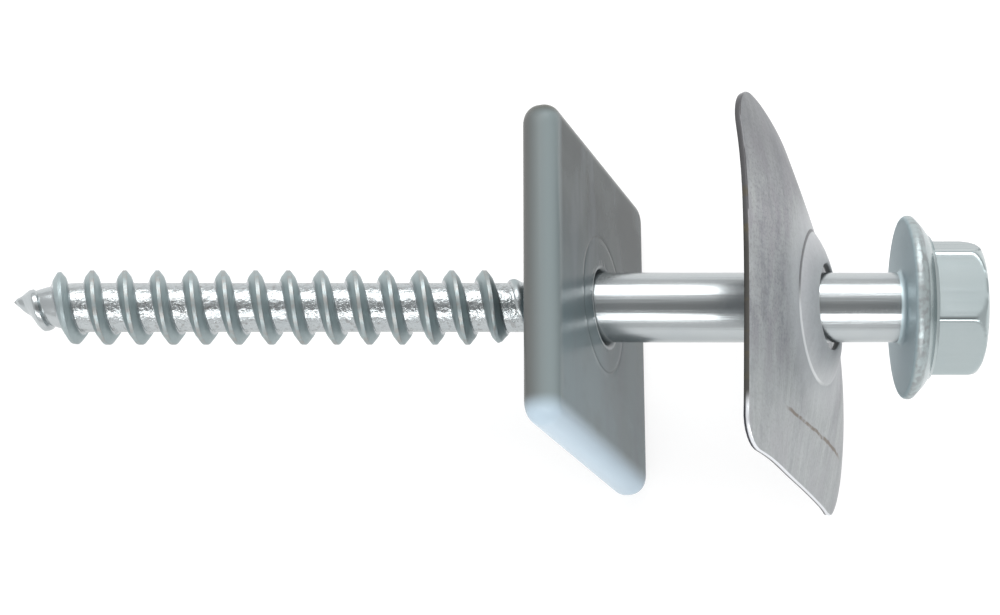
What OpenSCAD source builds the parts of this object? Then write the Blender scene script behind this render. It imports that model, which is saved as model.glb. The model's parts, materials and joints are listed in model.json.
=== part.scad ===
// Roofing coach screw with its bent steel spreader plate and its soft sealing plate.
// The set lies as it comes to rest on a table. The lower edge of the sealing plate and the lowest
// corner of the steel plate touch the table, so the screw's axis climbs toward the head by rest_pitch.
// The screw is drawn upright on its point, and each plate is drawn lying flat round its hole.

/* [Screw] */
// Length from the point to the underside of the flange
screw_l = 100; // [90:1:130]
// Diameter of the plain shank
shank_d = 7.88; // [7.6:0.02:8]
// Diameter of the core between the turns of the thread
core_d = 5.56; // [5:0.02:6]
// Diameter over the thread
thread_d = 8.4; // [8:0.1:8.8]
// Advance of the thread in one turn
pitch = 3.68; // [3.4:0.02:4]
// Length of the threaded part with its run-out
thread_l = 57.6; // [50:0.1:60]
// Length over which the thread fades into the shank
run_out_l = 3.4; // [2:0.1:5]
// Length of the tapered point
point_l = 8.2; // [6:0.1:10]
// Width of the thread at its foot
tooth_foot_w = 2.1; // [1.8:0.1:2.6]
// Width of the thread at half its height, where its flanks bulge
tooth_waist_w = 1.5; // [1.2:0.05:1.6]
// Width of the thread at its crest
tooth_crest_w = 0.5; // [0.3:0.05:0.8]
// Turn of the thread about the axis
thread_turn = 318; // [0:1:359]

/* [Head] */
// Diameter of the flange
flange_d = 20.7; // [19:0.1:23]
// Thickness of the flange at its rim
flange_rim_h = 1.25; // [1:0.05:1.8]
// Height of the flange's cone above the rim
flange_cone_h = 1.75; // [1.4:0.05:2.4]
// Diameter at the top of the cone, just over the hexagon's corners
flange_top_d = 15.8; // [15.8:0.1:16.6]
// Width of the hexagon across its flats
hex_af = 14; // [13:0.1:15]
// Diameter over the rounded corners of the hexagon
hex_corner_d = 15.7; // [14.8:0.1:15.7]
// Height of the whole head above the flange's underside
head_h = 8.8; // [8:0.1:10]
// Radius of the rounding round the end of the head
crown_r = 2; // [1:0.1:3]
// Turn of the hexagon about the axis
head_turn = 28; // [0:1:59]

/* [Steel plate] */
// Side of the square steel plate
plate_w = 41; // [38:0.5:42]
// Thickness of the steel
plate_t = 0.75; // [0.6:0.05:1.2]
// Radius of the plate's corners
plate_corner_r = 5.5; // [2:0.5:7]
// Diameter of the hole in the steel plate
plate_hole_d = 9.7; // [9.5:0.1:10.5]
// Direction of the bend, measured from the plate's upper side
bend_dir = 39.4; // [30:0.2:60]
// Distance before the hole where the bend begins
bend_before = 9.9; // [6:0.1:16]
// Distance past the hole where the bend ends
bend_past = 8.2; // [6:0.1:12]
// Tightest radius of the bend, at its far end
bend_r = 19; // [17:0.5:40]
// Radius of the shallow dishing across the bend
dish_r = 88; // [80:1:200]
// Diameter of the raised seat round the hole
boss_d = 17.4; // [15:0.1:20]
// Height of the raised seat
boss_h = 0.9; // [0.4:0.05:1.2]
// Distance of the steel plate's centre from the underside of the flange
plate_gap = 8.95; // [6:0.05:14]
// Lean of the steel plate toward the point
plate_lean = 21.7; // [15:0.1:24]
// Swing of the steel plate about the screw's axis
plate_swing = 4.25; // [0:0.05:6]
// Turn of the steel plate about its own hole
plate_turn = -3.1; // [-6:0.1:0]
// Height of the plate's centre above the screw's axis
plate_rise = 0.03; // [0:0.01:0.1]

/* [Sealing plate] */
// Side of the square sealing plate
seal_w = 36.2; // [34:0.1:38]
// Thickness of the sealing plate
seal_t = 4; // [3.7:0.1:4.4]
// Radius of its corners
seal_corner_r = 2.6; // [2:0.1:4]
// Radius of its rounded edges
seal_edge_r = 1.8; // [1:0.05:1.95]
// Lean of the sealing plate toward the point
seal_lean = 18.9; // [16:0.1:22]
// Diameter of the fine moulded ring round the hole
ring_d = 15.4; // [12:0.2:20]
// Distance between the centres of the two plates
plate_spacing = 26.45; // [20:0.05:30]
// Sideways shift of the sealing plate's middle from its hole
seal_shift = 0.15; // [0:0.05:1]

/* [Fits] */
// Gap between the crest of the thread and the soft hole that slides over it
seal_gap = 0.05; // [0.03:0.01:0.1]

/* [Hidden] */
$fn = 96;
eps = 0.01;

// Threaded rod: one strip wound along a right-hand helix, each turn joined to the next at the core
turn_steps = 24;
tooth_h = (thread_d - core_d) / 2;
tooth_crown = 0.1;
thread_from = 0.9;
thread_growth_l = 4;
nose_r = 0.2;
shoulder_l = 1.4;
rod_steps = floor((thread_l + pitch - thread_from) / pitch * turn_steps);

function clamp(v, low, high) = min(max(v, low), high);

// Radius of the core, which swells from the nose to the full core over the point
function core_r(z) = nose_r + (core_d / 2 - nose_r) * (1 - pow(1 - clamp(z / point_l, 0, 1), 2));
// Part of its full height that the thread has reached: it grows on the point and fades at the end
function thread_part(z) = clamp(min((z - thread_from) / thread_growth_l, (thread_l - z) / run_out_l), 0, 1);
// Heights under 1 drawn together above the point, so that the first turn stays on the nose
function on_nose(z) = z > 1 ? z : 1 / (2 - z);
function thread_z(i) = thread_from + pitch * i / turn_steps;
function thread_angle(i) = thread_turn + 360 * thread_z(i) / pitch;
function crest_r(z) = core_r(z) + tooth_h * thread_part(z);
// A point of the strip at step i, off the middle of the crest along the screw and up from the core
function strip_point(i, off, up) =
    let (z = on_nose(thread_z(i) + off), r = core_r(z) + up * thread_part(thread_z(i)), a = thread_angle(i))
    [r * cos(a), r * sin(a), z];
function root_point(i) = strip_point(i, -pitch / 2, 0);
// Half of the tooth as a width and a height for each corner: foot, waist, shoulder and crest
tooth_half = [
    [tooth_foot_w / 2, 0],
    [tooth_waist_w / 2, tooth_h / 2],
    [tooth_crest_w / 2, tooth_h - tooth_crown],
    [0, tooth_h]
];
tooth_corners = 2 * len(tooth_half) - 1;
// Corners of the tooth at step i, from one foot over the crest to the other
function tooth_points(i) = [
    for (c = tooth_half) strip_point(i, -c[0], c[1]),
    for (k = [len(tooth_half) - 2 : -1 : 0]) strip_point(i, tooth_half[k][0], tooth_half[k][1])
];
// Two triangles for each cell of a grid of rows, where every row is a closed ring of n points
function ring_faces(rows, n) = [
    for (i = [0 : rows - 2], k = [0 : n - 1])
        let (a = i * n + k, b = i * n + (k + 1) % n)
        each [[a, a + n, b], [b, a + n, b + n]]
];

// Steel plate: a height over the flat square, in x across and y along its upper side
side_steps = 8;
corner_steps = 6;
boss_rings = 5;
sheet_rings = 9;
slope_step = 0.01;
bend_rate = 1 / (bend_r * (bend_before + bend_past));

// Fall of a sheet whose curvature grows steadily from bend_before to bend_past, and is flat outside
function bend_fall(p) =
    let (u = clamp(p, -bend_before, bend_past) + bend_before, l = bend_before + bend_past)
    bend_rate * (pow(u, 3) / 6 + max(p - bend_past, 0) * l * l / 2);
// The same fall, levelled so that the sheet is square to the hole at its centre
function level_fall(p) = bend_fall(p) - bend_fall(0) - bend_rate * bend_before * bend_before / 2 * p;
function boss_lift(r) =
    let (u = clamp((r - plate_hole_d / 2) / (boss_d - plate_hole_d) * 2, 0, 1))
    boss_h * (1 - u * u);
function sheet_z(x, y) =
    let (p = y * cos(bend_dir) + x * sin(bend_dir), q = y * sin(bend_dir) - x * cos(bend_dir))
    boss_lift(norm([x, y])) - level_fall(p) - q * q / (2 * dish_r);
function sheet_normal(x, y) =
    let (sx = (sheet_z(x + slope_step, y) - sheet_z(x - slope_step, y)) / (2 * slope_step))
    let (sy = (sheet_z(x, y + slope_step) - sheet_z(x, y - slope_step)) / (2 * slope_step))
    [-sx, -sy, 1] / norm([sx, sy, 1]);
function sheet_point(p, side) =
    [p[0], p[1], sheet_z(p[0], p[1])] + sheet_normal(p[0], p[1]) * side * plate_t / 2;
// Outline of the flat square: each corner's arc, then the steps along the next side
function outline_corner(k, step) =
    let (a = 90 * k, c = plate_w / 2 - plate_corner_r, t = 90 * step / corner_steps)
    [c * (cos(a) - sin(a)), c * (sin(a) + cos(a))] + plate_corner_r * [cos(a + t), sin(a + t)];
function plate_outline() = [
    for (k = [0 : 3])
        each [
            for (s = [0 : corner_steps]) outline_corner(k, s),
            for (s = [1 : side_steps - 1])
                let (f = s / side_steps)
                outline_corner(k, corner_steps) * (1 - f) + outline_corner(k + 1, 0) * f
        ]
];
outline = plate_outline();
ring_n = len(outline);
// Rings of points from just inside the hole to the seat's foot, then out to the outline
inner_part = 0.8;
ring_parts = [
    for (i = [0 : boss_rings]) inner_part * plate_hole_d / boss_d
        + (1 - inner_part * plate_hole_d / boss_d) * i / boss_rings,
    for (i = [1 : sheet_rings]) 1 + i / sheet_rings
];
function ring_point(o, part) =
    let (foot = o / norm(o) * boss_d / 2)
    part <= 1 ? foot * part : foot * (2 - part) + o * (part - 1);
function sheet_side(parts, side) = [for (f = parts, o = outline) sheet_point(ring_point(o, f), side)];
function reversed(list) = [for (i = [len(list) - 1 : -1 : 0]) list[i]];
sheet_points = concat(sheet_side(ring_parts, -1), sheet_side(reversed(ring_parts), 1));

// Places of the two plates' centres along the screw, from the point
plate_at = screw_l - plate_gap;
seal_at = plate_at - plate_spacing;

// A point of the steel sheet once the plate leans on the shank, along, across and up from the axis
function on_axis(p) =
    let (y = p[1] * cos(plate_turn) + p[0] * sin(plate_turn))
    let (z = p[1] * sin(plate_turn) - p[0] * cos(plate_turn))
    let (up = p[2] * sin(plate_lean) + z * cos(plate_lean))
    [
        plate_at + p[2] * cos(plate_lean) - z * sin(plate_lean),
        y * cos(plate_swing) - up * sin(plate_swing),
        plate_rise + y * sin(plate_swing) + up * cos(plate_swing)
    ];

// Rest: the table touches the sealing plate's lower edge and the steel plate's lowest point
seal_foot_along = seal_w / 2 - seal_edge_r;
seal_foot_off = seal_t / 2 - seal_edge_r;
foot_x = seal_at + seal_foot_along * sin(seal_lean) - seal_foot_off * cos(seal_lean);
foot_z = -seal_foot_along * cos(seal_lean) - seal_foot_off * sin(seal_lean);
steel_points = [for (p = sheet_points) on_axis(p)];
rest_pitch = max([
    for (p = steel_points)
        let (dx = p[0] - foot_x, dz = p[2] - foot_z)
        -atan2(dz, dx) - asin(seal_edge_r / norm([dx, dz]))
]);
rest_h = seal_edge_r - foot_x * sin(rest_pitch) - foot_z * cos(rest_pitch);
crown_x = screw_l + head_h - crown_r;
crown_z = hex_corner_d / 2 - crown_r;
end_x = crown_x * cos(rest_pitch) + crown_z * sin(rest_pitch) + crown_r;
steel_across = [for (p = steel_points) p[1]];
middle_y = (max(steel_across) + min(steel_across)) / 2;

// The whole set as it rests, with the middle of its footprint on the origin
module at_rest() {
    translate([-end_x / 2, -middle_y, rest_h]) rotate([0, -rest_pitch, 0]) children();
}

// A plate on the shank: drawn flat, stood across the screw and leant toward the point
module on_shank(along, across, up, swing, lean, turn) {
    translate([along, across, up])
        rotate([swing, 0, 0])
        rotate([0, -lean, 0])
        rotate([turn, 0, 0])
        rotate([0, 90, 0])
        children();
}

// Threaded rod as one closed strip: row 0 to rod_steps of teeth, and the root one turn further
module threaded_rod() {
    n = tooth_corners;
    roots = rod_steps + turn_steps + 1;
    points = concat(
        [for (i = [0 : roots - 1]) root_point(i)],
        [for (i = [0 : rod_steps]) each tooth_points(i)],
        [[0, 0, 0], [0, 0, thread_z(roots)]]
    );
    tip = len(points) - 2;
    top = tip + 1;
    // Point numbers along row i, from its own root to the root one turn on
    function row(i) = concat([i], [for (k = [0 : n - 1]) roots + n * i + k], [i + turn_steps]);
    walls = [
        for (i = [0 : rod_steps - 1], k = [0 : n])
            let (r = row(i), s = row(i + 1))
            each [[r[k], r[k + 1], s[k]], [s[k], r[k + 1], s[k + 1]]]
    ];
    tip_faces = concat(
        [for (i = [0 : turn_steps - 1]) [tip, i, i + 1]],
        [for (k = [0 : n]) let (r = row(0)) [tip, r[k + 1], r[k]]]
    );
    top_faces = concat(
        [for (i = [0 : turn_steps - 1]) [top, rod_steps + i + 1, rod_steps + i]],
        [for (k = [0 : n]) let (r = row(rod_steps)) [top, r[k], r[k + 1]]]
    );
    polyhedron(points = points, faces = concat(walls, tip_faces, top_faces), convexity = 12);
}

// Shank with the shoulder that swells from the core
module shank() {
    shoulder_sink = 0.3;
    rotate_extrude()
        polygon([
            [0, thread_l - shoulder_sink],
            [core_d / 2 - shoulder_sink, thread_l - shoulder_sink],
            [shank_d / 2, thread_l + shoulder_l],
            [shank_d / 2, screw_l + eps],
            [0, screw_l + eps]
        ]);
}

// Hexagon with turned corners and a rounded end, on a coned flange
module head() {
    flange_h = flange_rim_h + flange_cone_h;
    translate([0, 0, screw_l]) {
        rotate_extrude()
            polygon([
                [0, 0],
                [flange_d / 2, 0],
                [flange_d / 2, flange_rim_h],
                [flange_top_d / 2, flange_h],
                [0, flange_h]
            ]);
        intersection() {
            rotate(head_turn) cylinder(d = hex_af / cos(30), h = head_h, $fn = 6);
            rotate_extrude() {
                square([hex_corner_d / 2 - crown_r, head_h]);
                square([hex_corner_d / 2, head_h - crown_r]);
                translate([hex_corner_d / 2 - crown_r, head_h - crown_r]) circle(crown_r);
            }
        }
    }
}

// The screw is one forged and rolled piece
module screw() {
    color("silver")
        at_rest()
        rotate([0, 90, 0]) {
            threaded_rod();
            shank();
            head();
        }
}

// Square steel sheet, bent over a diagonal and slightly dished, with a raised seat and a round hole
module steel_plate() {
    rows = 2 * len(ring_parts);
    inner_wall = [
        for (k = [0 : ring_n - 1])
            let (j = (k + 1) % ring_n, last = (rows - 1) * ring_n)
            each [[last + k, k, last + j], [last + j, k, j]]
    ];
    color("darkgray")
        at_rest()
        on_shank(plate_at, 0, plate_rise, plate_swing, plate_lean, plate_turn)
        difference() {
            polyhedron(points = sheet_points, faces = concat(ring_faces(rows, ring_n), inner_wall), convexity = 6);
            cylinder(d = plate_hole_d, h = 4 * (boss_h + plate_t), center = true);
        }
}

// Soft square plate with round edges and a fine moulded ring. The soft hole gives way to the
// screw as the plate leans, so it runs along the screw.
module sealing_plate() {
    ring_wire_r = 0.12;
    corner_at = seal_w / 2 - seal_corner_r;
    color("slategray")
        at_rest()
        difference() {
            on_shank(seal_at, seal_shift, 0, 0, seal_lean, 0)
                difference() {
                    hull()
                        for (x = [-1, 1], y = [-1, 1])
                            translate([x * corner_at, y * corner_at, 0])
                            rotate_extrude($fn = 32)
                            intersection() {
                                for (z = [-1, 1])
                                    translate([seal_corner_r - seal_edge_r, z * (seal_t / 2 - seal_edge_r)])
                                    circle(seal_edge_r, $fn = 20);
                                translate([0, -seal_t / 2]) square([seal_corner_r, seal_t]);
                            }
                    translate([0, -seal_shift, seal_t / 2])
                        rotate_extrude()
                        translate([ring_d / 2, 0])
                        circle(ring_wire_r, $fn = 16);
                }
            translate([seal_at, 0, 0])
                rotate([0, 90, 0])
                cylinder(d = thread_d + 2 * seal_gap, h = 4 * seal_t, center = true);
        }
}

screw();
steel_plate();
sealing_plate();
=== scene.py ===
import json
import math

import bmesh
import bpy
from mathutils import Matrix, Vector


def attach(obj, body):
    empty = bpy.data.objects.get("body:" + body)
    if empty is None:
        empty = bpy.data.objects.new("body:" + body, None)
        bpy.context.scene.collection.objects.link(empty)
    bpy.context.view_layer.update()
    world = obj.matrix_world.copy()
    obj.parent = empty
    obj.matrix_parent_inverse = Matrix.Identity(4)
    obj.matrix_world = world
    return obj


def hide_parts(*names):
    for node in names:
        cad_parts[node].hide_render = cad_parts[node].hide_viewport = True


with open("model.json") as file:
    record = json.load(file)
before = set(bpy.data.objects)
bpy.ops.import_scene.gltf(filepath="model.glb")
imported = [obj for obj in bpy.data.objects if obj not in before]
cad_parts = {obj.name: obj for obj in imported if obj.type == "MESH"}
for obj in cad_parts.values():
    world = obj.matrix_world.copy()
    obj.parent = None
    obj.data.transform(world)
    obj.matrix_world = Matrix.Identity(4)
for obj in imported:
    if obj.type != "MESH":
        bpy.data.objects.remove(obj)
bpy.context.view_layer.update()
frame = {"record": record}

# Screw. One piece of carbon steel: the head and flange are cold forged, the wood thread is rolled,
# and the whole is zinc-plated, which leaves the thread's roots speckled and the shank finely drawn.
# It lies on its plates, so that its axis climbs from the point to the head.
screw_l = 100.0
shank_r = 3.94
shank_mid = 80.0
core_full_r = 2.78
shoulder = [(0, -0.3), (core_full_r - 0.3, -0.3), (shank_r - 0.12, 1.25), (shank_r, 1.5)]
tooth_h = 1.42
tooth_foot_w = 2.0
tooth_waist_w = 1.5
tooth_crest_w = 0.4
tooth_corner = 0.03
pitch = 3.68
turn_steps = 60
thread_l = 57.6
run_out_l = 3.4
thread_from = 0.9
thread_growth_l = 4.0
thread_turn = math.radians(318)
point_l = 8.2
nose_r = 0.2
nose_z = 0.1
point_bend = 0.55
bend_side = Vector((-0.319, 0.948, 0))
under_fillet = 0.6
flange_r = 10.35
flange_rim_h = 1.25
flange_h = 3.0
rim_round = 0.6
collar = [(9.55, 1.67), (9.1, 2.07), (8.65, 2.38), (8.3, 2.55), (8.25, 2.6), (8.1, 2.9), (7.8, flange_h)]
flange_steps = 144
hex_af = 14.0
hex_corner_r = 8.0
hex_corner = 0.02
hex_steps = 240
side_rings = [4.0, 5.5]
end_rings = [4.5, 2.5, 0]
head_h = 8.75
head_sunk = 0.4
head_turn = math.radians(28)
crown_r = 2.0

# Pieces are drawn in millimetres with x along the screw from its point, y across it and z up from
# it, and are then laid in place. What is turned is drawn upright first.
mount_from_point = 0.028
thread_mount = next(mount for mount in frame["record"]["mounts"] if mount["name"] == "wood_thread")
axis = Vector(thread_mount["axis"]).normalized()
point = Vector(thread_mount["pos_m"]) - mount_from_point * axis
across = Vector((0, 1, 0))
lie = Matrix((axis, across, axis.cross(across))).transposed().to_4x4()
lie.translation = point
lay_mm = lie @ Matrix.Scale(0.001, 4)
stand = Matrix.Rotation(math.radians(90), 4, "Y")
climb = math.atan2(axis.z, axis.x)


def clamp(value, low=0.0, high=1.0):
    return min(max(value, low), high)


def core_r(z):
    """Radius of the core, which tapers to the point."""
    return nose_r + (core_full_r - nose_r) * (1 - (1 - clamp(z / point_l)) ** 2)


def thread_part(z):
    """Part of the full tooth: it grows from the point and runs out into the shank."""
    return clamp(min((z - thread_from) / thread_growth_l, (thread_l - z) / run_out_l))


def rounded_over(value, width):
    """Zero for negative values and the value itself for large ones, with a soft corner."""
    return (value + math.sqrt(value * value + width * width)) / 2


def tooth_height(off):
    """Height of the tooth as a part of the full height: straight flanks, steeper at the foot."""
    foot = (tooth_foot_w / 2 - abs(off)) / (tooth_foot_w - tooth_waist_w)
    flank = 0.5 + (tooth_waist_w / 2 - abs(off)) / (tooth_waist_w - tooth_crest_w)
    return clamp(rounded_over(min(foot, flank), tooth_corner))


# The thread is one turn's profile wound along the core, then narrowed to the point and run out.
screw_shape = bmesh.new()
turns = (thread_l + pitch - thread_from) / pitch
wound_steps = int(turns * turn_steps)
start_turn = thread_turn + 2 * math.pi * thread_from / pitch
half_offs = [0, tooth_crest_w / 4, tooth_crest_w / 2, 0.36, 0.5, 0.62, tooth_waist_w / 2]
half_offs += [0.84, 0.92, tooth_foot_w / 2, 1.08, 1.2, 1.4, 1.62, pitch / 2]
profile = []
for off in [-off for off in half_offs[:0:-1]] + half_offs:
    spot = Vector((core_full_r + tooth_h * tooth_height(off), 0, thread_from + off))
    profile.append(screw_shape.verts.new(Matrix.Rotation(start_turn, 3, "Z") @ spot))
edges = [screw_shape.edges.new(pair) for pair in zip(profile, profile[1:])]
bmesh.ops.spin(screw_shape, geom=profile + edges, cent=(0, 0, 0), axis=(0, 0, 1),
               dvec=(0, 0, pitch / turn_steps), angle=2 * math.pi * wound_steps / turn_steps,
               steps=wound_steps, use_merge=False)
bmesh.ops.remove_doubles(screw_shape, verts=screw_shape.verts, dist=0.002)
for vert in screw_shape.verts:
    x, y, z = vert.co
    r = math.hypot(x, y)
    low = z if z > 1 else 1 / (2 - z)
    new_r = core_r(low) + (r - core_full_r) * thread_part(z)
    vert.co = Vector((x / r * new_r, y / r * new_r, low))
for vert in screw_shape.verts:
    vert.co += bend_side * (point_bend * max(1 - vert.co.z / point_l, 0) ** 1.4)
nose_rim = [e for e in screw_shape.edges if e.is_boundary and e.verts[0].co.z < point_l]
made = bmesh.ops.extrude_edge_only(screw_shape, edges=nose_rim)
tip = [part for part in made["geom"] if isinstance(part, bmesh.types.BMVert)]
nose = bend_side * point_bend + Vector((0, 0, nose_z))
bmesh.ops.pointmerge(screw_shape, verts=tip, merge_co=nose)
bmesh.ops.holes_fill(screw_shape, edges=[e for e in screw_shape.edges if e.is_boundary], sides=0)


def arc(middle_r, middle_z, radius, start, end, steps):
    """Points of an arc in the plane of a turned profile, from one angle to another in degrees."""
    spots = []
    for k in range(steps + 1):
        a = math.radians(start + (end - start) * k / steps)
        spots.append((middle_r + radius * math.cos(a), middle_z + radius * math.sin(a)))
    return spots


def turned(shape, outline, steps):
    """Spins an outline of radius and height into a closed solid."""
    verts = [shape.verts.new((r, 0, z)) for r, z in outline]
    lines = [shape.edges.new(pair) for pair in zip(verts, verts[1:])]
    bmesh.ops.spin(shape, geom=verts + lines, cent=(0, 0, 0), axis=(0, 0, 1),
                   angle=2 * math.pi, steps=steps, use_merge=True)


shank_outline = [(r, thread_l + past) for r, past in shoulder]
shank_outline += [(shank_r, shank_mid), (shank_r, screw_l - under_fillet)]
shank_outline += arc(shank_r + under_fillet, screw_l - under_fillet, under_fillet, 180, 90, 6)
flange_outline = arc(flange_r - rim_round, screw_l + rim_round, rim_round, -90, 0, 6)
flange_outline += arc(flange_r - rim_round, screw_l + flange_rim_h - rim_round, rim_round, 0, 50, 5)
flange_outline += [(r, screw_l + high) for r, high in collar + [(0, flange_h)]]
turned(screw_shape, shank_outline + flange_outline, flange_steps)

# The head is turned first and then pressed to six flats, so its rounded end runs out on each flat.
before = set(screw_shape.verts)
head_z = screw_l + flange_h - head_sunk
head_outline = [(0, head_z), (hex_corner_r, head_z)]
head_outline += [(hex_corner_r, screw_l + high) for high in side_rings]
head_outline += arc(hex_corner_r - crown_r, screw_l + head_h - crown_r, crown_r, 0, 90, 10)
head_outline += [(r, screw_l + head_h) for r in end_rings]
turned(screw_shape, head_outline, hex_steps)
for vert in set(screw_shape.verts) - before:
    x, y, z = vert.co
    r = math.hypot(x, y)
    if r > 0.01:
        off_flat = math.atan2(y, x) % math.radians(60) - math.radians(30)
        flat_r = hex_af / 2 / math.cos(off_flat)
        new_r = flat_r - rounded_over(flat_r - r, hex_corner) if r > 5 else r
        vert.co = Matrix.Rotation(head_turn, 3, "Z") @ Vector((x / r * new_r, y / r * new_r, z))
bmesh.ops.remove_doubles(screw_shape, verts=screw_shape.verts, dist=0.0005)
bmesh.ops.transform(screw_shape, matrix=stand, verts=screw_shape.verts)


class Wire:
    """A socket of a finish, so that shader maths reads as plain expressions."""

    def __init__(self, finish, socket):
        self.finish, self.socket = finish, socket

    def maths(self, operation, first, second):
        return self.finish.add("ShaderNodeMath", {"operation": operation}, {0: first, 1: second})

    def __add__(self, other):
        return self.maths("ADD", self, other)

    def __radd__(self, other):
        return self.maths("ADD", other, self)

    def __sub__(self, other):
        return self.maths("SUBTRACT", self, other)

    def __rsub__(self, other):
        return self.maths("SUBTRACT", other, self)

    def __mul__(self, other):
        return self.maths("MULTIPLY", self, other)

    def __rmul__(self, other):
        return self.maths("MULTIPLY", other, self)


class Finish:
    """The nodes of a material or a world."""

    def __init__(self, owner):
        owner.use_nodes = True
        self.tree = owner.node_tree
        self.tree.nodes.clear()

    def add(self, kind, settings=None, sockets=None, output=0):
        """Adds a node: its settings first, then the values or wires of its sockets."""
        node = self.tree.nodes.new(kind)
        for key, value in (settings or {}).items():
            setattr(node, key, value)
        for key, value in (sockets or {}).items():
            if isinstance(value, Wire):
                self.tree.links.new(value.socket, node.inputs[key])
            else:
                node.inputs[key].default_value = value
        return Wire(self, node.outputs[output]) if node.outputs else None

    def between(self, value, low, high, to_low=0.0, to_high=1.0):
        """Smooth step of a value from low to high."""
        return self.add("ShaderNodeMapRange", {"interpolation_type": "SMOOTHSTEP"}, {
            "Value": value, "From Min": low, "From Max": high, "To Min": to_low, "To Max": to_high})

    def blend(self, amount, first, second):
        """A colour part of the way from the first to the second."""
        return self.add("ShaderNodeMix", {"data_type": "RGBA"},
                        {0: amount, 6: first, 7: second}, output=2)

    def noise(self, place, scale, detail=4.0, rough=0.55):
        return self.add("ShaderNodeTexNoise", {}, {
            "Vector": place, "Scale": scale, "Detail": detail, "Roughness": rough})

    def stretched(self, place, scale):
        return self.add("ShaderNodeMapping", {}, {"Vector": place, "Scale": scale})

    def streaked(self, place, scale, detail=4.0, rough=0.55):
        """Noise drawn out by its own scale in each direction."""
        return self.noise(self.stretched(place, scale), 1.0, detail, rough)

    def part(self, place, side):
        return self.add("ShaderNodeSeparateXYZ", {}, {0: place}, output=side)

    def length(self, place):
        return self.add("ShaderNodeVectorMath", {"operation": "LENGTH"}, {0: place}, output="Value")

    def towards(self, place, direction):
        return self.add("ShaderNodeVectorMath", {"operation": "DOT_PRODUCT"},
                        {0: place, 1: direction}, output="Value")

    def along_screw(self):
        """Place in millimetres along the screw, across it and up from it."""
        back = Matrix.Rotation(climb, 3, "Y")
        return self.add("ShaderNodeMapping", {}, {
            "Vector": self.add("ShaderNodeTexCoord", output="Object"),
            "Location": tuple(-1000 * (back @ point)),
            "Rotation": (0, climb, 0), "Scale": (1000, 1000, 1000)})

    def off_axis(self, place):
        """Distance from the screw's axis."""
        return self.length(self.add("ShaderNodeVectorMath", {"operation": "MULTIPLY"},
                                    {0: place, 1: (0, 1, 1)}))

    def bump(self, height, strength):
        return self.add("ShaderNodeBump", {}, {"Height": height, "Strength": strength, "Distance": 0.001})

    def surface(self, **sockets):
        names = {key.replace("_", " "): value for key, value in sockets.items()}
        shader = self.add("ShaderNodeBsdfPrincipled", {}, names)
        self.add("ShaderNodeOutputMaterial", {}, {"Surface": shader})


shank_dull, shank_bright = (0.40, 0.435, 0.45, 1), (0.48, 0.505, 0.51, 1)
head_dull, head_bright = (0.36, 0.42, 0.43, 1), (0.42, 0.47, 0.475, 1)
painted_facet_shade = (0.10, 0.16, 0.17, 1)
tooth_grey = (0.32, 0.385, 0.395, 1)
crest_rub = (0.33, 0.315, 0.30, 1)
root_speck = (0.24, 0.235, 0.23, 1)
rim_speck = (0.25, 0.245, 0.25, 1)
underside_painted_shade = (0.45, 0.545, 0.575, 1)
upper_facet = (0, 0.948, 0.319)

zinc = bpy.data.materials.new("zinc_plating")
plating = Finish(zinc)
place = plating.along_screw()
along = plating.part(place, "X")
off_axis = plating.off_axis(place)
in_thread = plating.between(along, 56.0, 59.0, 1.0, 0.0)
on_head = plating.between(along, screw_l - 0.2, screw_l + 0.2)
root = plating.between(off_axis, 2.85, 3.05, 1.0, 0.0) * in_thread * plating.between(along, 5.0, 9.0)
tooth = plating.between(off_axis, 2.9, 3.2) * in_thread
crest = plating.between(off_axis, 4.05, 4.17) * in_thread
rim = plating.between(off_axis, 9.5, 9.9) * on_head
# Painted shade: the flange's underside and the neck under it get a bluish tone that stands in for their
# shaded look under the flange.
underside = plating.between(along, screw_l + 0.35, screw_l + 0.1)
underside = underside * plating.between(along, screw_l - 0.62, screw_l - 0.5)
# Painted shade: the upper facet of the hex head is coloured darker, as if it were shaded.
facet = on_head * plating.between(plating.towards(place, upper_facet), 6.2, 6.5)
facet = facet * plating.between(off_axis, 8.3, 8.1)
drawn = plating.streaked(place, (0.05, 2.2, 2.2))
speckle = plating.noise(place, 1.5, 4.0, 0.6)
rolled = plating.streaked(place, (6.0, 0.7, 0.7), 3.0)
cloud = plating.noise(place, 0.16, 3.0)
forged = plating.noise(place, 1.1, 4.0)
tone = plating.blend(cloud, shank_dull, shank_bright)
tone = plating.blend(on_head, tone, plating.blend(cloud, head_dull, head_bright))
tone = plating.blend(facet * 0.8, tone, painted_facet_shade)
tone = plating.blend(tooth * 0.8, tone, tooth_grey)
tone = plating.blend(crest * plating.between(speckle, 0.35, 0.65) * 0.7, tone, crest_rub)
tone = plating.blend(root * plating.between(speckle, 0.52, 0.66) * 0.5, tone, root_speck)
tone = plating.blend(rim * plating.between(forged, 0.45, 0.62) * 0.5, tone, rim_speck)
tone = plating.blend(underside * 0.9, tone, underside_painted_shade)
roughness = 0.2 + 0.1 * drawn + tooth * (0.14 + rolled * 0.2)
roughness = roughness + rim * (0.1 + forged * 0.25) + underside * 0.25
relief = root * speckle * 0.14 + tooth * rolled * 0.05 + rim * forged * 0.1
relief = relief + (1 - in_thread) * (1 - on_head) * drawn * 0.03
plating.surface(Base_Color=tone, Metallic=1.0, Roughness=roughness, Normal=plating.bump(relief, 1.0))


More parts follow.
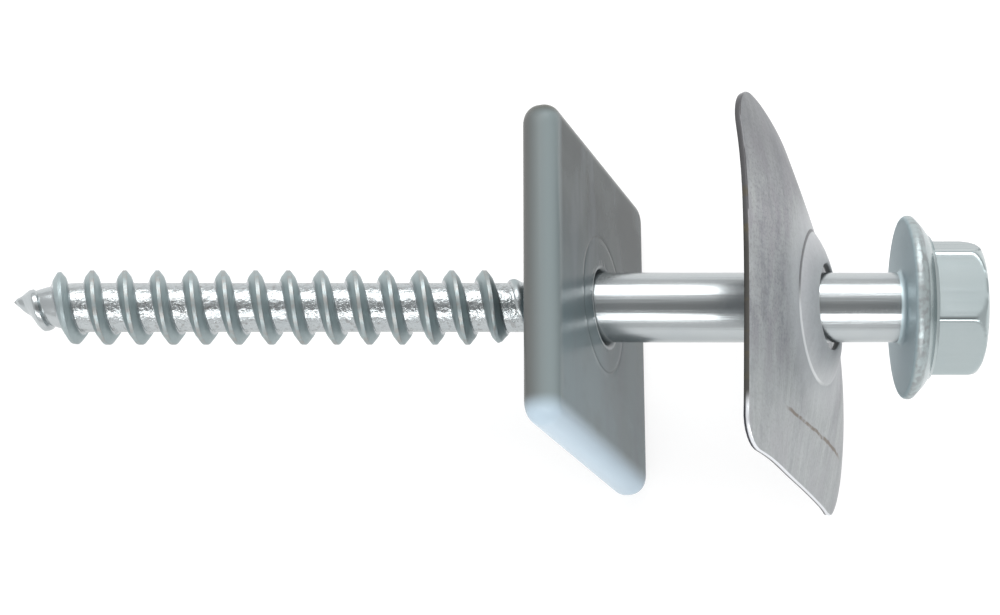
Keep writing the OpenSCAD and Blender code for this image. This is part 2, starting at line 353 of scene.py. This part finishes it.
def finish_piece(body, shape, material, sharp_from):
    """Lays a drawn shape in place as the piece that shows a body, sharp past an angle in degrees."""
    bmesh.ops.transform(shape, matrix=lay_mm, verts=shape.verts)
    bmesh.ops.recalc_face_normals(shape, faces=shape.faces)
    for face in shape.faces:
        face.smooth = True
    mesh = bpy.data.meshes.new(body)
    shape.to_mesh(mesh)
    shape.free()
    mesh.set_sharp_from_angle(angle=math.radians(sharp_from))
    mesh.materials.append(material)
    piece = bpy.data.objects.new(body, mesh)
    bpy.context.scene.collection.objects.link(piece)
    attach(piece, body)
    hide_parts(body)


finish_piece("screw", screw_shape, zinc, 40)


# Steel spreader plate. A square of galvanised sheet, cut with round corners, bent over a line near
# one diagonal and pressed up into a seat round its hole. It leans on the shank.
plate_w = 40.8
plate_t = 0.75
plate_corner_r = 5.45
low_corner_r = 3.3
plate_hole_r = 4.85
plate_burr = 0.18
plate_at = 91.05
plate_rise = 0.03
plate_swing = 4.25
plate_lean = 21.7
plate_turn = -3.1
bend_dir = math.radians(39.4)
bend_before = 9.9
bend_past = 8.2
bend_r = 19.0
bend_rate = 1 / (bend_r * (bend_before + bend_past))
dish_r = 88.0
boss_r = 8.7
boss_h = 0.9
handled_w = 20.0
edge_dents = [(-15, 0.33), (-5, -0.29), (5, -0.19), (15, 0.17)]
dent_spread = 60.0
plate_rings = [5.4, 6.0, 6.7, 7.4, 8.0, 8.5, boss_r, 8.9, 9.5]


def bend_fall(p):
    """How far the sheet has fallen at a distance past the bend's middle."""
    run = clamp(p, -bend_before, bend_past) + bend_before
    length = bend_before + bend_past
    return bend_rate * (run ** 3 / 6 + max(p - bend_past, 0) * length ** 2 / 2)


def handled(x, y):
    """Height of the uneven bend that pressing leaves towards the corners, and of the edge's dents."""
    u, v = x / handled_w, y / handled_w
    ease = clamp((math.hypot(x, y) - 9) / 6)
    ripple = 0.1 * v * v - 0.054 * u * u + 0.064 * u ** 3 - 0.185 * u * v * v - 0.05 * v ** 3
    dent = sum(high * math.exp(-((x - at_x) ** 2 + (y + handled_w) ** 2) / dent_spread)
               for at_x, high in edge_dents)
    return ease * ease * (3 - 2 * ease) * ripple + dent


def sheet_z(x, y):
    """Height of the sheet's middle surface: the seat, the bend, the dishing and the handling."""
    p = y * math.cos(bend_dir) + x * math.sin(bend_dir)
    q = y * math.sin(bend_dir) - x * math.cos(bend_dir)
    fall = bend_fall(p) - bend_fall(0) - bend_rate * bend_before ** 2 / 2 * p
    lift = clamp((math.hypot(x, y) - plate_hole_r) / (boss_r - plate_hole_r))
    return boss_h * (1 - lift ** 2) - fall - q * q / (2 * dish_r) + handled(x, y)


def outline_r(turn, side, corner_r):
    """Distance from the middle of a square with round corners to its outline."""
    c, s = sorted((abs(math.cos(turn)), abs(math.sin(turn))), reverse=True)
    k = side / 2 - corner_r
    if s / c * side / 2 <= k:
        return side / 2 / c
    return k * (c + s) + math.sqrt((k * (c + s)) ** 2 - 2 * k * k + corner_r ** 2)


def ringed_square(hole_r, rings, outer_steps, side, corner_r, own_low_r, spokes):
    """A flat square sheet round a hole: round rings first, then rings that widen to the outline."""
    shape = bmesh.new()
    verts = bmesh.ops.create_circle(shape, segments=spokes, radius=hole_r, cap_ends=False)["verts"]
    last = list({e for v in verts for e in v.link_edges})
    steps = [(r, 0) for r in rings] + [(rings[-1], k / outer_steps) for k in range(1, outer_steps + 1)]
    for ring_r, widened in steps:
        made = bmesh.ops.extrude_edge_only(shape, edges=last)["geom"]
        last = [part for part in made if isinstance(part, bmesh.types.BMEdge)]
        for vert in {v for e in last for v in e.verts}:
            turn = math.atan2(vert.co.y, vert.co.x)
            full_r = outline_r(turn, side, own_low_r if max(vert.co.xy) < 0 else corner_r)
            r = ring_r * (1 - widened) + full_r * widened
            vert.co = Vector((r * math.cos(turn), r * math.sin(turn), 0))
    return shape


def facing(shape):
    """1 where a sheet's faces look up, or -1 where they look down."""
    bmesh.ops.recalc_face_normals(shape, faces=shape.faces)
    shape.normal_update()
    return 1 if sum(face.normal.z for face in shape.faces) > 0 else -1


def soften_rims(shape, width, segments, wanted):
    rims = [e for e in shape.edges if wanted(e) and e.calc_face_angle(0) > math.radians(60)]
    bmesh.ops.bevel(shape, geom=rims, offset=width, offset_type="OFFSET", affect="EDGES",
                    segments=segments, profile=0.5, material=-1, clamp_overlap=True)


def keep_flat_places(shape):
    """Stores each corner's place on the flat blank, in millimetres, for finishes that follow it."""
    layer = shape.loops.layers.uv.new("flat")
    for face in shape.faces:
        for loop in face.loops:
            loop[layer].uv = loop.vert.co.xy


def put_on_shank(shape, along, lean, sideways=0, rise=0, swing=0, turn=0):
    """Stands a flat-drawn plate on the shank at a distance from the point, leaning and turned."""
    seat = (Matrix.Translation((along, sideways, rise)) @ Matrix.Rotation(math.radians(swing), 4, "X")
            @ Matrix.Rotation(math.radians(-lean), 4, "Y") @ Matrix.Rotation(math.radians(turn), 4, "X"))
    bmesh.ops.transform(shape, matrix=seat @ stand, verts=shape.verts)


plate_shape = ringed_square(plate_hole_r, plate_rings, 14, plate_w, plate_corner_r, low_corner_r, 240)
for vert in plate_shape.verts:
    vert.co.z = sheet_z(vert.co.x, vert.co.y)
look = facing(plate_shape)
for vert, normal in [(v, v.normal.copy()) for v in plate_shape.verts]:
    vert.co += normal * look * plate_t / 2
bmesh.ops.solidify(plate_shape, geom=plate_shape.faces[:], thickness=plate_t * look)
soften_rims(plate_shape, plate_burr, 3, lambda e: True)
keep_flat_places(plate_shape)

# The cut edge is marked for its finish: the sheared upper half of it 0.5, and the torn lower half 1.
# On the lower edge these halves carry a painted highlight and a painted shade.
plate_shape.normal_update()
cut_layer = plate_shape.verts.layers.float.new("cut")
for face in plate_shape.faces:
    if abs(face.normal.z) < 0.5 and face.calc_center_median().xy.length > boss_r:
        for vert in face.verts:
            vert[cut_layer] = 0.5 if vert.co.z > sheet_z(vert.co.x, vert.co.y) else 1.0
put_on_shank(plate_shape, plate_at, plate_lean, rise=plate_rise, swing=plate_swing, turn=plate_turn)

spangle_dark, spangle_light = (0.23, 0.235, 0.26, 1), (0.46, 0.48, 0.48, 1)
mottle_light = (0.46, 0.475, 0.49, 1)
tint_warm = (0.35, 0.34, 0.37, 1)
grain_dark = (0.2, 0.2, 0.205, 1)
hatch_dark = (0.24, 0.25, 0.25, 1)
upper_painted_shade = (0.17, 0.175, 0.185, 1)
seat_painted_light = (0.62, 0.635, 0.65, 1)
lower_bright = (0.47, 0.50, 0.50, 1)
crease_painted_highlight, crease_painted_shade = (0.8, 0.81, 0.82, 1), (0.12, 0.12, 0.125, 1)
cut_grey, cut_dark = (0.11, 0.11, 0.115, 1), (0.08, 0.078, 0.073, 1)
cut_rust = (0.12, 0.10, 0.06, 1)
shear_painted_highlight, tear_painted_shade = (0.74, 0.76, 0.79, 1), (0.05, 0.05, 0.06, 1)
hole_dark = (0.06, 0.06, 0.06, 1)
scratch_brown = (0.17, 0.13, 0.095, 1)

galvanised = bpy.data.materials.new("galvanised_sheet")
coating = Finish(galvanised)
flat = coating.add("ShaderNodeUVMap", {"uv_map": "flat"})
flat_x, flat_y = coating.part(flat, "X"), coating.part(flat, "Y")
out = coating.length(flat)
cut_half = coating.add("ShaderNodeAttribute", {"attribute_name": "cut"}, output="Fac")
cut = coating.between(cut_half, 0.1, 0.4)
near_side = coating.between(flat_x, -17.0, -20.0) * coating.between(flat_y, -17.5, -15.0)
lower_cut = cut * coating.between(flat_y, -14.5, -17.0)
streaks = coating.streaked(flat, (0.24, 0.045, 1), 6.0, 0.7)
hatch = coating.streaked(flat, (3.0, 0.3, 1), 3.0, 0.6)
tint = coating.streaked(flat, (0.3, 0.13, 1), 3.0)
clouds = coating.noise(flat, 0.13, 4.0)
mottle = coating.noise(flat, 0.6, 6.0, 0.75)
grain = coating.noise(flat, 2.6, 5.0, 0.65)
rust = coating.noise(flat, 0.5, 4.0)
crease_off = out - 8.75
crease = coating.between(crease_off * crease_off, 0.05, 0.006) * coating.between(flat_x, 2.0, -2.0)
wander = flat_y + 14.0 + 0.6 * coating.noise(flat, 0.35, 2.0) - 0.3
scratch = coating.between(wander * wander, 0.07, 0.0) * coating.between(flat_x, -11.0, -8.0)
scratch = scratch * coating.between(flat_x, 15.0, 12.0)
scratch = scratch * coating.between(coating.noise(flat, 1.1, 3.0), 0.3, 0.5, 0.35, 1.0)
tone = coating.blend(coating.between(streaks, 0.3, 0.7), spangle_dark, spangle_light)
tone = coating.blend(coating.between(mottle, 0.42, 0.6) * 0.45, tone, mottle_light)
tone = coating.blend(coating.between(tint, 0.45, 0.65) * 0.6, tone, tint_warm)
tone = coating.blend(coating.between(grain, 0.45, 0.68) * 0.45, tone, grain_dark)
hatched = coating.between(hatch, 0.5, 0.65) * coating.between(flat_y, -4.0, -12.0)
tone = coating.blend(hatched * 0.35, tone, hatch_dark)
# Painted shade: the upper part of the plate is coloured darker.
tone = coating.blend(coating.between(flat_y, 5.0, 17.0) * 0.6, tone, upper_painted_shade)
# Painted light: the face round the seat is coloured lighter.
tone = coating.blend(coating.between(out, 14.0, 9.0) * 0.6, tone, seat_painted_light)
tone = coating.blend(coating.between(flat_y, -5.0, -13.0) * 0.35, tone, lower_bright)
# Painted highlight and shade: on one half of the crease round the seat, light below and dark above.
crease_highlight_and_shade = coating.blend(coating.between(flat_y, -3.0, 1.0), crease_painted_highlight, crease_painted_shade)
tone = coating.blend(crease * 0.75, tone, crease_highlight_and_shade)
cut_tone = coating.blend(coating.between(flat_y, 7.0, 0.0), cut_grey, cut_dark)
tone = coating.blend(cut * near_side, tone, cut_tone)
tone = coating.blend(cut * near_side * coating.between(rust, 0.52, 0.66) * 0.5, tone, cut_rust)
# Painted highlight and shade on the lower cut edge: its sheared upper half is a bright line, and its torn
# lower half is near black.
lower_cut_highlight_and_shade = coating.blend(coating.between(cut_half, 0.7, 0.92), shear_painted_highlight, tear_painted_shade)
tone = coating.blend(lower_cut, tone, lower_cut_highlight_and_shade)
tone = coating.blend(coating.between(out, 4.95, 4.85) * 0.8, tone, hole_dark)
tone = coating.blend(scratch * 0.8, tone, scratch_brown)
roughness = 0.44 + 0.16 * clouds + 0.12 * hatch - cut * (0.2 - 0.2 * near_side)
relief = streaks * 0.02 + mottle * 0.03 + grain * 0.012 + hatch * 0.01
coating.surface(Base_Color=tone, Metallic=0.7 + cut * 0.3, Roughness=roughness,
                Normal=coating.bump(relief, 0.8))
finish_piece("steel_plate", plate_shape, galvanised, 50)


# Sealing plate. A square of soft grey-green PVC, injection moulded with round edges and a fine
# ring. Its hole gives way to the shank, so it runs along the screw although the plate leans.
seal_w = 36.19
seal_t = 4.0
seal_corner_r = 2.6
seal_edge_r = 1.8
seal_hole_r = 4.25
seal_rim_r = 0.5
seal_at = 64.6
seal_lean = 18.9
seal_shift = 0.15
hole_reach = 7.0
moulded_r = 7.7
moulded_half_w = 0.07
moulded_deep = 0.015
seal_rings = [4.6, 5.4, 6.2, hole_reach, moulded_r - moulded_half_w, moulded_r]
seal_rings += [moulded_r + moulded_half_w, 8.3, 9.5]
seal_shape = ringed_square(seal_hole_r, seal_rings, 4, seal_w, seal_corner_r, seal_corner_r, 480)
for vert in seal_shape.verts:
    vert.co.z = seal_t / 2
bmesh.ops.solidify(seal_shape, geom=seal_shape.faces[:], thickness=seal_t * facing(seal_shape))
for vert in seal_shape.verts:
    if vert.co.z > 0 and abs(vert.co.xy.length - moulded_r) < 0.02:
        vert.co.z -= moulded_deep
soften_rims(seal_shape, seal_rim_r, 5, lambda e: e.verts[0].co.xy.length < seal_hole_r + 0.1)
soften_rims(seal_shape, seal_edge_r, 12, lambda e: e.verts[0].co.xy.length > seal_w / 2 - 1)

# The hole slants with the shank: its wall is sheared, and the shear fades out within its reach.
slant = math.tan(math.radians(seal_lean))
for vert in seal_shape.verts:
    near = clamp((hole_reach - vert.co.xy.length) / (hole_reach - seal_hole_r - 0.2))
    vert.co.x *= 1 + near * (1 / math.cos(math.radians(seal_lean)) - 1)
    vert.co.x += near * slant * vert.co.z
    vert.co.y -= seal_shift if vert.co.xy.length < 9 else 0
keep_flat_places(seal_shape)
rise_layer = seal_shape.verts.layers.float.new("rise")
for vert in seal_shape.verts:
    vert[rise_layer] = vert.co.z
put_on_shank(seal_shape, seal_at, seal_lean, sideways=seal_shift)

face_painted_shade, face_painted_light = (0.024, 0.034, 0.035, 1), (0.135, 0.18, 0.195, 1)
face_cloud = (0.10, 0.12, 0.12, 1)
face_flow = (0.13, 0.15, 0.17, 1)
side_painted_shade, side_painted_highlight = (0.105, 0.108, 0.105, 1), (0.185, 0.22, 0.225, 1)
top_edge_painted_shade = (0.075, 0.078, 0.068, 1)
bottom_edge_painted_light = (0.45, 0.55, 0.63, 1)
moulded_ring_painted_shade = (0.03, 0.035, 0.035, 1)
hole_painted_highlight = (0.42, 0.45, 0.46, 1)

pvc = bpy.data.materials.new("soft_pvc")
skin = Finish(pvc)
flat = skin.add("ShaderNodeUVMap", {"uv_map": "flat"})
flat_x, flat_y = skin.part(flat, "X"), skin.part(flat, "Y")
place = skin.along_screw()
rise = skin.add("ShaderNodeAttribute", {"attribute_name": "rise"}, output="Fac")
cloud = skin.noise(place, 0.12, 3.0)
grain = skin.noise(place, 2.5, 3.0)
flow = skin.streaked(flat, (0.22, 0.045, 1), 2.0)
moulded_off = skin.length(flat) - moulded_r
in_hole = skin.between(skin.off_axis(place), 4.9, 4.6)
# Painted light and shade: the face runs from dark at its upper edge to light at its lower edge.
tone = skin.blend(skin.between(flat_y, 14.0, -14.0), face_painted_shade, face_painted_light)
tone = skin.blend(skin.between(cloud, 0.4, 0.65) * 0.4, tone, face_cloud)
tone = skin.blend(skin.between(flow, 0.5, 0.7) * 0.35, tone, face_flow)
# Painted shade and highlight on the near side's rounded edge: dark across one half of its thickness, light
# across the other.
side_highlight_and_shade = skin.blend(skin.between(rise, -1.7, 1.6), side_painted_shade, side_painted_highlight)
tone = skin.blend(skin.between(flat_x, -14.8, -16.8), tone, side_highlight_and_shade)
# Painted shade: the upper edge is coloured darker.
tone = skin.blend(skin.between(flat_y, 16.2, 17.6), tone, top_edge_painted_shade)
# Painted light: the lower edge is coloured pale blue-white, as if brightly lit.
tone = skin.blend(skin.between(flat_y, -15.0, -17.4), tone, bottom_edge_painted_light)
# Painted shade: a thin dark line along the moulded ring's groove.
tone = skin.blend(skin.between(moulded_off * moulded_off, 0.02, 0.003) * 0.4, tone, moulded_ring_painted_shade)
# Painted highlight: the hole's wall is coloured lighter, most towards its lower side.
tone = skin.blend(in_hole * skin.between(flat_y, 3.0, -1.0, 0.4, 1.0), tone, hole_painted_highlight)
skin.surface(Base_Color=tone, Metallic=0.0, Roughness=0.18 + 0.1 * flow, Specular_IOR_Level=0.11,
             Normal=skin.bump(grain * 0.004 + flow * 0.01, 0.5))
finish_piece("sealing_plate", seal_shape, pvc, 50)


# Camera. It looks square at the screw's axis from a quarter metre off, from above and a little to
# one side.
look_tilt = math.radians(18.6)
target = Vector((54.84, 0, 0))
camera_away = 269.5
view_half_w = 500 / 2393
sensor_w = 36
toward_lens = Vector((0, -math.sin(look_tilt), math.cos(look_tilt)))
right = Vector((1, 0, 0))
camera_data = bpy.data.cameras.new("camera")
camera_data.sensor_width = sensor_w
camera_data.lens = sensor_w / 2 / view_half_w
camera_data.clip_start, camera_data.clip_end = 0.01, 10
camera = bpy.data.objects.new("camera", camera_data)
bpy.context.scene.collection.objects.link(camera)
aim = Matrix((right, toward_lens.cross(right), toward_lens)).transposed().to_4x4()
camera.matrix_world = lie @ Matrix.Translation((target + toward_lens * camera_away) * 0.001) @ aim
bpy.context.scene.camera = camera


# Table top. A plain white sheet far larger than the set, which stays white to the lens and keeps
# a soft shadow.
table_half_w = 3
lit_grey = (0.35, 0.35, 0.35, 1)
bounce_grey = (0.8, 0.8, 0.8, 1)
white = (1, 1, 1, 1)
floor_shape = bmesh.new()
bmesh.ops.create_grid(floor_shape, x_segments=1, y_segments=1, size=table_half_w)
floor_mesh = bpy.data.meshes.new("floor")
floor_shape.to_mesh(floor_mesh)
floor_shape.free()
paper = bpy.data.materials.new("white_paper")
sheet = Finish(paper)
seen = sheet.add("ShaderNodeLightPath", output="Is Camera Ray")
seen = seen + sheet.add("ShaderNodeLightPath", output="Is Glossy Ray")
lit = sheet.add("ShaderNodeBsdfDiffuse", {}, {"Color": lit_grey})
glow = sheet.add("ShaderNodeEmission", {}, {"Color": white, "Strength": 0.72})
shown = sheet.add("ShaderNodeAddShader", {}, {0: lit, 1: glow})
bounce = sheet.add("ShaderNodeBsdfDiffuse", {}, {"Color": bounce_grey})
mixed = sheet.add("ShaderNodeMixShader", {}, {0: seen, 1: bounce, 2: shown})
sheet.add("ShaderNodeOutputMaterial", {}, {"Surface": mixed})
floor_mesh.materials.append(paper)
floor = bpy.data.objects.new("floor", floor_mesh)
bpy.context.scene.collection.objects.link(floor)


# Studio light. Two long soft boxes beside the lens and a grey room that is dark behind the lens.
box_away = 0.9
box_l = 1.2
room_level, lens_zone_level = 0.8, 0.28
lens_zone_from, lens_zone_full = math.radians(34), math.radians(12)


def soft_box(name, tilt, width, power):
    """A soft box that faces the screw's middle: tilt is its angle from the lens, away from the near side."""
    lamp = bpy.data.lights.new(name, "AREA")
    lamp.shape, lamp.size, lamp.size_y, lamp.energy = "RECTANGLE", width, box_l, power
    box = bpy.data.objects.new(name, lamp)
    bpy.context.scene.collection.objects.link(box)
    a = look_tilt + math.radians(-tilt)
    toward_box = lie.to_3x3() @ Vector((0, -math.sin(a), math.cos(a))).normalized()
    box.location = lie @ (target * 0.001) + toward_box * box_away
    box.rotation_mode = "QUATERNION"
    box.rotation_quaternion = toward_box.to_track_quat("Z", "X")


soft_box("upper_box", 61, 0.46, 7.5)
soft_box("lower_box", -33, 0.2, 4.5)

world = bpy.data.worlds.new("room")
bpy.context.scene.world = world
room = Finish(world)
outward = room.add("ShaderNodeTexCoord", output="Generated")
near_lens = room.towards(outward, tuple(lie.to_3x3() @ toward_lens))
level = room.between(near_lens, math.cos(lens_zone_from), math.cos(lens_zone_full),
                     room_level, lens_zone_level)
to_lens = room.add("ShaderNodeLightPath", output="Is Camera Ray")
level = level * (1 - to_lens) + to_lens
backdrop = room.add("ShaderNodeBackground", {}, {"Color": white, "Strength": level})
room.add("ShaderNodeOutputWorld", {}, {"Surface": backdrop})
bpy.context.scene.view_settings.view_transform = "Standard"
